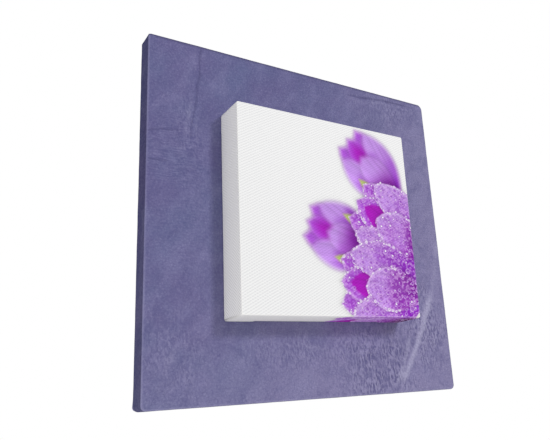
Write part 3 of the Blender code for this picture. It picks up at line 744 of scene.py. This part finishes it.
PUCKERS = (               # where the hide is finely puckered: middle, reach and strength
    ((0.07, -0.15), (0.07, 0.05), 1.0),
    ((0.14, -0.11), (0.04, 0.06), 0.9),
    ((-0.02, -0.13), (0.07, 0.02), 0.5),
    ((-0.14, 0.08), (0.02, 0.05), 0.35),
    ((-0.15, -0.13), (0.04, 0.04), 0.35),
    ((0.12, 0.16), (0.06, 0.03), 0.5),
)
RIPPLES = (               # where it is finely rippled from side to side
    ((-0.15, 0.06), (0.04, 0.04), 0.8),
    ((0.15, 0.17), (0.05, 0.01), 0.7),
    ((-0.15, -0.02), (0.04, 0.06), 0.3),
)


def bowed(start, end, bow):
    """Points along a shallow arc from start to end."""
    run = np.subtract(end, start)
    left = np.array((-run[1], run[0]))
    return [np.add(start, part * run + 4 * bow * part * (1 - part) * left)
            for part in np.linspace(0.0, 1.0, MARK_STEPS + 1)]


def patch_share(patches, x, z):
    """How far each point is in one of the patches, from 0 to 1, with ragged edges."""
    share = np.zeros_like(x)
    for (middle_x, middle_z), (reach_x, reach_z), strength in patches:
        away = np.hypot((x - middle_x) / reach_x, (z - middle_z) / reach_z)
        away += 0.5 * (value_noise(x / 0.016, z / 0.016, 51) - 0.5)
        share = np.maximum(share, strength * smoothstep(1.35, 0.25, away))
    return share


def hide_relief(x, z):
    """Height of the hide's own relief over the front, in millimetres."""
    wander_x = x + 0.0022 * (value_noise(x / 0.011, z / 0.011, 21) - 0.5)
    wander_z = z + 0.0022 * (value_noise(x / 0.011, z / 0.011, 22) - 0.5)
    height = 0.16 * (value_noise(x / 0.045, z / 0.045, 1) - 0.5)
    height += 0.10 * (value_noise(x / 0.014, z / 0.014, 2) - 0.5)
    height += 0.10 * (value_noise(x / 0.0052, z / 0.0052, 4) - 0.5)
    for start, end, bow, width, rise in HIDE_MARKS:
        points = bowed(start, end, bow)
        distance, way = along_line(points, wander_x, wander_z)
        taper = smoothstep(1.0, 0.7, way)
        if rise > 0:
            taper = smoothstep(0.0, 0.12, way) * smoothstep(1.0, 0.80, way)
        height += rise * np.exp(-(distance / width) ** 2) * taper
    lean = x * 0.94 + z * 0.34
    climb = z * 0.94 - x * 0.34
    height += patch_share(PUCKERS, x, z) * 0.30 * (value_noise(lean / 0.0036, climb / 0.0075, 6) - 0.5)
    return height


def hide_lift(sheet):
    """How far each point of the leather stands off its plain shape, in metres, and its relief."""
    x, y, z = sheet.points.T
    flat_x, _, flat_z = sheet.cloth.T
    relief = hide_relief(flat_x, flat_z)
    under_canvas = np.maximum(np.abs(x), np.abs(z)) < CANVAS_HALF + 0.002
    facing_front = sheet.normals[:, 1] < -0.5
    relief = np.where(under_canvas & facing_front, np.minimum(relief, 0.0) * 0.3, relief)
    on_back = sheet.normals[:, 1] > 0.5
    diagonal = np.abs(x) - np.abs(z)
    seam = smoothstep(-0.0016, 0.0, diagonal * np.sign(x * z)) * on_back
    near_corner = np.exp(-(np.abs(diagonal) / 0.010) ** 2) * on_back
    relief = relief + 0.85 * seam * near_corner
    relief = relief + 0.5 * near_corner * (value_noise(np.arctan2(z, x) * 90, 0 * x, 9) - 0.5)
    relief = relief * ~sheet.inside
    return relief * 0.001, relief


def leather_cover():
    middle = even_lines(-0.18, 0.18, LEATHER_PITCH)
    sheet = WrappedSheet("leather_cover", LEATHER_CORNERS, LEATHER_EDGE, LEATHER_TURN, LEATHER,
                         middle, middle, LEATHER_SIDE_PITCH)
    lift, relief = hide_lift(sheet)
    # The sides get a copy of the grain darkened to 0.56: painted shade.
    materials = (leather_grain("leather_face", 0.25, 1.0), leather_flesh(),
                 leather_grain("leather_side_painted_shade", 0.0, 0.56))
    cover = sheet.to_object("leather_hide", materials, lift)
    # The relief also sets the hide's colour: painted light on ridges, painted shade in grooves.
    sheet.store(cover.data, "relief", np.clip(0.5 + relief * 0.6, 0, 1))
    x, z = sheet.cloth[:, 0], sheet.cloth[:, 2]
    # Painted sheen: paler towards the lower right, stored as pale.
    sheen_slope = 0.75 * x - 0.55 * z + 0.05 * (value_noise(x / 0.05, z / 0.05, 41) - 0.5)
    sheet.store(cover.data, "pale", smoothstep(-0.15, 0.17, sheen_slope))
    sheet.store(cover.data, "pucker", patch_share(PUCKERS, x, z))
    sheet.store(cover.data, "ripple", patch_share(RIPPLES, x, z))
    # Painted edge light and shade: left and lower front edges lighter, upper and right ones darker, with a
    # dark band along the top edge.
    lean = np.clip(-sheet.normals[:, 1], 0, 1) ** 2
    edge_light_and_shade = np.where(sheet.normals[:, 0] + sheet.normals[:, 2] < 0, 1.0, -1.0) * 4 * lean * (1 - lean)
    edge_light_and_shade *= 0.5 + 0.8 * value_noise(x / 0.03, z / 0.03, 61)
    edge_light_and_shade -= 1.2 * smoothstep(0.0045, 0.0, np.abs(sheet.half - z)) * (lean > 0.0)
    sheet.store(cover.data, "edge", np.clip(0.5 + 0.5 * edge_light_and_shade, 0, 1))
    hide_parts("leather_cover")


# ---------------------------------------------------------------- the picture on the canvas

# A generic bunch of tulips, fanned out at even angles from one point. Places are shares of the
# front: s runs right and t up, from 0 to 1. Colours are display values from 0 to 255.
WHITE_GROUND = (248, 248, 248)
FOLD_INK = (58, 22, 52)        # at the right end of the bottom fold
LILAC = (200, 150, 236)
ORCHID = (180, 90, 222)
VIOLET = (140, 36, 190)
MAGENTA = (176, 30, 192)
PLUM = (118, 10, 146)
LEAF_LIGHT = (196, 214, 120)
LEAF_DARK = (96, 148, 28)
RIM = (232, 214, 246)
DEW_LAYERS = ((0.0038, 0.18, 7.7), (0.0064, 0.36, 3.1), (0.0102, 0.44, 0.0))  # cell, chance, seed
DROP_RADII = (0.18, 0.32)      # least and greatest, as shares of a cell
BEAD_SIZE = 0.0044     # cell of the dew beads along petal rims
BEAD_SEED = 11.0
BEAD_RADII = (0.27, 0.42)
# Tints of a drop's body, dark upper part, ring and bright lower part
DROP_TINTS = ((0.34, 0.08, 0.60, 1), (0.19, 0.01, 0.36, 1),
              (0.68, 0.36, 0.85, 1), (0.84, 0.60, 0.95, 1))
BEAD_TINTS = ((0.90, 0.82, 0.96, 1), (0.66, 0.48, 0.82, 1),
              (0.95, 0.90, 0.98, 1), (1.0, 0.98, 1.0, 1))
PETAL_STEPS = 18       # straight pieces along each side of a petal
FULLEST = 1.4          # above 1, a petal is widest nearer its tip
BLUNTNESS = 0.65       # below 1, its ends are rounder
BUNCH_ROOT = (1.50, 0.10)      # where the stems would meet, off the right edge
FAR_HEADS = (137, 163)         # degrees from the s axis, 13 apart from head to head
NEAR_HEADS = (150, 176)
LEAVES = (143.5, 156.5, 169.5)   # halfway between the heads
FAR_REACH = (0.75, 1.20)       # of foot and tip, from the root
NEAR_REACH = (0.42, 0.98)
LEAF_REACH = (0.60, 1.02)
FAR_WIDTH = 0.30
NEAR_WIDTH = 0.42
LEAF_WIDTH = 0.07
FAR_BLUR = 0.022               # half width of a petal's soft outline
LEAF_BLUR = 0.011
NEAR_BLUR = 0.004


class Petal:
    """A petal or leaf from base to tip, bowed sideways by bend."""

    def __init__(self, base, tip, width, bend=0.0):
        self.base, self.run, self.width = np.array(base, float), np.subtract(tip, base), width
        self.length = np.hypot(*self.run)
        self.across = np.array((-self.run[1], self.run[0])) / self.length
        share = np.linspace(0.0, 1.0, PETAL_STEPS + 1)[:, None]
        middle = self.base + share * self.run + bend * np.sin(np.pi * share) * self.across
        swell = np.clip(np.sin(np.pi * share**FULLEST), 0.0, 1.0) ** BLUNTNESS
        left, right = (middle + side * 0.5 * width * swell * self.across for side in (1, -1))
        self.outline = np.vstack([left, right[-2:0:-1]])

    def depth(self, s, t):
        """How far each point lies inside the outline; negative outside."""
        nearest = np.full(s.shape, np.inf)
        inside = np.zeros(s.shape, bool)
        for (s0, t0), (s1, t1) in zip(self.outline, np.roll(self.outline, -1, 0)):
            ds, dt = s1 - s0, t1 - t0
            share = np.clip(((s - s0) * ds + (t - t0) * dt) / (ds * ds + dt * dt + 1e-12), 0, 1)
            nearest = np.minimum(nearest, (s - s0 - share * ds) ** 2 + (t - t0 - share * dt) ** 2)
            if dt:
                inside ^= ((t0 > t) != (t1 > t)) & (s < s0 + (t - t0) * ds / dt)
        return np.where(inside, 1.0, -1.0) * np.sqrt(nearest)

    def own_place(self, s, t):
        """Each point's share of the way to the tip, and its place from side to side, -1 to 1."""
        ds, dt = s - self.base[0], t - self.base[1]
        along = (ds * self.run[0] + dt * self.run[1]) / self.length**2
        aside = (ds * self.across[0] + dt * self.across[1]) / (0.5 * self.width)
        return np.clip(along, 0, 1), np.clip(aside, -1, 1)


class Picture:
    """Colours, dew and beaded rims at points of the print."""

    def __init__(self, s, t):
        self.s, self.t = s, t
        self.colour = np.tile(np.array(WHITE_GROUND, float), (len(s), 1))
        self.dew = np.zeros(len(s))
        self.beads = np.zeros(len(s))

    def add(self, petal, foot_tint, tip_tint, blur, dew=0.0, beads=0.0, rim=0.0, shade=0.0):
        """Paint a petal: tints run from foot to tip, with veins, a lit rim and a shadow beside it."""
        depth = petal.depth(self.s, self.t)
        along, aside = petal.own_place(self.s, self.t)
        beside = np.exp(-np.clip(-depth, 0, None) / 0.009) * (depth < 0)
        self.colour *= (1.0 - shade * beside)[:, None]
        patchy = value_noise(self.s * 13, self.t * 13, 17) - 0.5
        share = smoothstep(0.15, 0.85, along + 0.35 * patchy)[:, None]
        colour = np.array(foot_tint, float) * (1 - share) + np.array(tip_tint, float) * share
        vein = value_noise(along * 3, aside * 9, 3) + 0.5 * value_noise(along * 6, aside * 22, 5) - 0.75
        colour *= (1.0 + 0.12 * vein + 0.06 * aside)[:, None]
        lit = rim * np.exp(-np.clip(depth, 0, None) / 0.010) * smoothstep(0.25, 0.6, along)
        colour += (np.array(RIM, float) - colour) * lit[:, None]
        cover = smoothstep(-blur, blur, depth)
        self.colour += (colour - self.colour) * cover[:, None]
        self.dew += (dew - self.dew) * cover
        at_rim = beads * np.exp(-((depth - 0.001) / 0.010) ** 2) * smoothstep(0.3, 0.6, along)
        self.beads += (at_rim - self.beads) * np.maximum(cover, at_rim > 0.4)

    def tulip(self, foot, tip, width, blur, dew=0.0, beads=0.0):
        """A tulip's head from the side: three petals behind, the open throat, three in front."""
        foot, run = np.array(foot, float), np.subtract(tip, foot)
        across = np.array((-run[1], run[0])) / np.hypot(*run) * width

        def reaching(along, aside, petal_width, bend=0.0):
            return Petal(foot, foot + along * run + aside * across, petal_width * width, bend * width)

        look = {"blur": blur, "dew": dew, "beads": beads, "rim": 0.8 if dew else 0.2, "shade": 0.15}
        for aside in (-0.26, 0.26, 0.0):
            self.add(reaching(1.0, aside, 0.52), PLUM, ORCHID, **look)
        self.add(reaching(0.90, 0.0, 0.40), PLUM, MAGENTA, blur=2 * blur)
        self.add(reaching(0.90, -0.36, 0.50, -0.10), VIOLET, LILAC, **look)
        self.add(reaching(0.88, 0.38, 0.50, 0.10), VIOLET, LILAC, **look)
        self.add(reaching(0.74, 0.03, 0.54), PLUM, LILAC, **look)


def fanned(degrees, distance):
    """The place at a distance from the bunch's root."""
    angle = np.radians(degrees)
    return BUNCH_ROOT[0] + distance * np.cos(angle), BUNCH_ROOT[1] + distance * np.sin(angle)


def paint_print(s, t):
    """The picture: blurred tulips behind, leaves, and dewy tulips in front, on a white ground."""
    picture = Picture(s, t)
    for degrees in FAR_HEADS:
        foot, tip = (fanned(degrees, reach) for reach in FAR_REACH)
        picture.tulip(foot, tip, FAR_WIDTH, FAR_BLUR)
    for degrees in LEAVES:
        foot, tip = (fanned(degrees, reach) for reach in LEAF_REACH)
        picture.add(Petal(foot, tip, LEAF_WIDTH), LEAF_DARK, LEAF_LIGHT, LEAF_BLUR)
    for degrees in NEAR_HEADS:
        foot, tip = (fanned(degrees, reach) for reach in NEAR_REACH)
        picture.tulip(foot, tip, NEAR_WIDTH, NEAR_BLUR, dew=1.0, beads=0.7)
    return np.clip(picture.colour, 0, 255) / 255.0, picture.dew, picture.beads


# ---------------------------------------------------------------- printed canvas

def canvas_lift(sheet):
    """The cloth's own shape: sunk between its bars, and lying double over its corner folds."""
    x, y, z = sheet.points.T
    facing_front = smoothstep(0.3, 0.9, -sheet.normals[:, 1])
    inset = sheet.half - np.maximum(np.abs(x), np.abs(z))
    lift = -0.0006 * smoothstep(0.004, 0.045, inset) * facing_front
    depth = y - sheet.front
    from_corner = sheet.half - np.abs(x)
    on_top_or_bottom = smoothstep(0.75, 0.98, np.abs(sheet.normals[:, 2]))
    folded = smoothstep(0.0006, -0.0006, from_corner - FOLD_SLOPE * depth) * ~sheet.inside
    lift += 0.00045 * folded * on_top_or_bottom * smoothstep(0.001, 0.005, depth)
    ripple = value_noise(sheet.cloth[:, 0] / 0.03, sheet.cloth[:, 2] / 0.03, 31) - 0.5
    on_side = smoothstep(0.5, 1.0, np.abs(sheet.normals[:, 0]) + np.abs(sheet.normals[:, 2]))
    return lift + 0.0003 * ripple * on_side * ~sheet.inside * smoothstep(0.002, 0.010, depth)


def mirrored(share):
    """Past the picture's edge the print runs back on itself."""
    return 1.0 - np.abs(1.0 - np.abs(share))


def printed_canvas():
    half = CANVAS_HALF
    start = -half + PRINT_START * 2 * half
    lines_x = even_lines(-half, start, PLAIN_PITCH) + even_lines(start, half, PRINT_PITCH)
    sheet = WrappedSheet("printed_canvas", CLOTH_CORNERS, CLOTH_EDGE, CLOTH_TURN, CLOTH,
                         lines_x, even_lines(-half, half, PRINT_PITCH), CLOTH_SIDE_PITCH)
    canvas = sheet.to_object("canvas_print", (printed_cloth(), raw_cloth()), canvas_lift(sheet))
    s = mirrored((sheet.cloth[:, 0] + half) / (2 * half))
    raw_t = (sheet.cloth[:, 2] + half) / (2 * half)
    colour, dew, beads = paint_print(s, mirrored(raw_t))
    # Painted shade: the underside is a little darker.
    below = smoothstep(-0.01, -0.04, raw_t)[:, None]
    colour = colour * (1 - 0.03 * below)
    far_end = below * smoothstep(0.88, 0.97, s)[:, None]
    colour += (np.array(FOLD_INK) / 255 - colour) * far_end
    ink = canvas.data.color_attributes.new("print", "FLOAT_COLOR", "POINT")
    rgba = np.column_stack([linear(colour), np.ones(len(s))])
    ink.data.foreach_set("color", rgba.astype(np.float32).ravel())
    sheet.store(canvas.data, "dew", np.clip(dew, 0, 1))
    sheet.store(canvas.data, "beads", np.clip(beads, 0, 1))
    # Painted highlight along the front edges, strongest halfway round them.
    lean = np.clip(-sheet.normals[:, 1], 0, 1) ** 2
    sheet.store(canvas.data, "painted_edge_highlight", np.where(sheet.inside, 0.0, 4 * lean * (1 - lean)))
    sheet.store(canvas.data, "side", smoothstep(0.6, 0.2, np.abs(sheet.normals[:, 1])))
    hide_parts("printed_canvas")


# ---------------------------------------------------------------- wood, steel and rubber

def finish_node(name, material, edge, angle=50.0):
    """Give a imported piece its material, and soften its edges."""
    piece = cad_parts[name]
    for slot in piece.material_slots:
        slot.material = material
    normals = piece.data.attributes.get("custom_normal")
    if normals:
        piece.data.attributes.remove(normals)
    piece.data.shade_smooth()
    weld = piece.modifiers.new("weld", "WELD")
    weld.merge_threshold = 0.00001
    flat = piece.modifiers.new("flat", "DECIMATE")
    flat.decimate_type = "DISSOLVE"
    flat.angle_limit = math.radians(1.0)
    bevel = piece.modifiers.new("edge", "BEVEL")
    bevel.width = edge
    bevel.segments = 2
    bevel.limit_method = "ANGLE"
    bevel.angle_limit = math.radians(angle)
    bevel.harden_normals = True


def finish_wood():
    pale, brown = (0.60, 0.43, 0.25, 1), (0.42, 0.25, 0.11, 1)
    for number, side in enumerate(SIDES):
        along = "X" if side in ("top", "bottom") else "Z"
        for bars, first_seed, edge in (("panel", 0, 0.0004), ("canvas", 4, 0.0003)):
            pine = wood(f"pine_{bars}_{side}", along, pale, brown, number + first_seed)
            finish_node(f"{bars}_bar_{side}", pine, edge)
    for number, side in enumerate(("left", "right")):
        finish_node(f"batten_{side}", wood(f"pine_batten_{side}", "Z", pale, brown, number + 8), 0.0005)
    light, dark = (0.56, 0.36, 0.20, 1), (0.40, 0.22, 0.11, 1)
    beech = {along: wood(f"beech_{along}", along, light, dark, 13, 0.0016) for along in ("X", "Z")}
    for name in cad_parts:
        if name.startswith("key_"):
            side = name.split("_")[1]
            finish_node(name, beech["Z" if side in ("top", "bottom") else "X"], 0.0004)


def finish_fasteners():
    plated = steel("zinc_plate", (0.66, 0.66, 0.64, 1), 0.26, 420.0)
    brassy = steel("yellow_zinc_plate", (0.72, 0.60, 0.34, 1), 0.28, 420.0)
    wire = steel("galvanised_wire", (0.58, 0.58, 0.59, 1), 0.34, 700.0)
    edges = {"mount_screw": 0.00012, "mount_washer": 0.00015, "hanger_screw": 0.00012,
             "hanger_strap": 0.00025, "v_nail": 0.00008, "staple": 0.00014}
    materials = {"mount_screw": brassy, "staple": wire, "v_nail": wire}
    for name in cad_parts:
        for kind, edge in edges.items():
            if name.startswith(kind):
                finish_node(name, materials.get(kind, plated), edge)
        if name.startswith("bumper"):
            finish_node(name, RUBBER, 0.0003)
    for side in ("left", "right"):
        d_ring(side, plated)
    corner_staples(wire)


def wire_piece(name, points, radius, material, body, closed=False):
    """A piece of round wire along points."""
    curve = bpy.data.curves.new(name, "CURVE")
    curve.dimensions = "3D"
    curve.bevel_depth = radius
    curve.bevel_resolution = 4
    curve.use_fill_caps = True
    spline = curve.splines.new("POLY")
    spline.points.add(len(points) - 1)
    for point, place in zip(spline.points, points):
        point.co = (*place, 1.0)
    spline.use_cyclic_u = closed
    spline.use_smooth = True
    curve.materials.append(material)
    piece = bpy.data.objects.new(name, curve)
    bpy.context.scene.collection.objects.link(piece)
    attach(piece, body)
    return piece


def d_ring(side, material):
    """A ring of round wire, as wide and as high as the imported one."""
    low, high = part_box(f"d_ring_{side}")
    wire = (high.y - low.y) / 2
    middle, depth, pivot = (low.x + high.x) / 2, (low.y + high.y) / 2, low.z + wire
    half, reach = (high.x - low.x) / 2 - wire, high.z - wire - pivot
    bend = 1.6 * wire
    points = []
    for end, start in ((-1, math.pi), (1, 1.5 * math.pi)):
        for step in range(9):
            angle = start + step / 8 * math.pi / 2
            points.append((middle + end * (half - bend) + bend * math.cos(angle), depth,
                           pivot + bend + bend * math.sin(angle)))
    for step in range(41):
        angle = step / 40 * math.pi
        points.append((middle + half * math.cos(angle), depth,
                       pivot + reach - half + half * math.sin(angle)))
    ring = wire_piece(f"ring_{side}", points, wire, material, f"d_ring_{side}", True)
    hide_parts(f"d_ring_{side}")


def corner_staples(material):
    """Two more staples over each folded corner of the leather."""
    low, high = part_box("staple_top_1")
    crown, leg, radius = (high.x - low.x) / 2, 0.002, (high.z - low.z) / 2
    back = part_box("leather_cover")[1].y
    for quarter in range(4):
        for number, inset in enumerate((0.0125, 0.0215)):
            middle = CAD_BOX[1].x - inset
            tilt = math.radians(45 + 90 * quarter)
            across = (-math.sin(tilt), math.cos(tilt))
            centre = [middle * math.copysign(1, f(tilt)) for f in (math.cos, math.sin)]
            profile = [(-crown, -leg), (-crown, radius * 0.6), (-crown + radius, radius * 1.6),
                       (crown - radius, radius * 1.6), (crown, radius * 0.6), (crown, -leg)]
            points = [(centre[0] + across[0] * u, back + v, centre[1] + across[1] * u) for u, v in profile]
            wire_piece(f"corner_staple_{SIDES[quarter]}_{number + 1}", points, radius, material,
                       PANEL)


CANVAS_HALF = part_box("printed_canvas")[1].x
RUBBER = rubber()
add_camera()
set_surroundings()
for lamp_name, lamp_values in LAMPS.items():
    add_lamp(lamp_name, *lamp_values)
add_floor()
leather_cover()
printed_canvas()
finish_wood()
finish_fasteners()
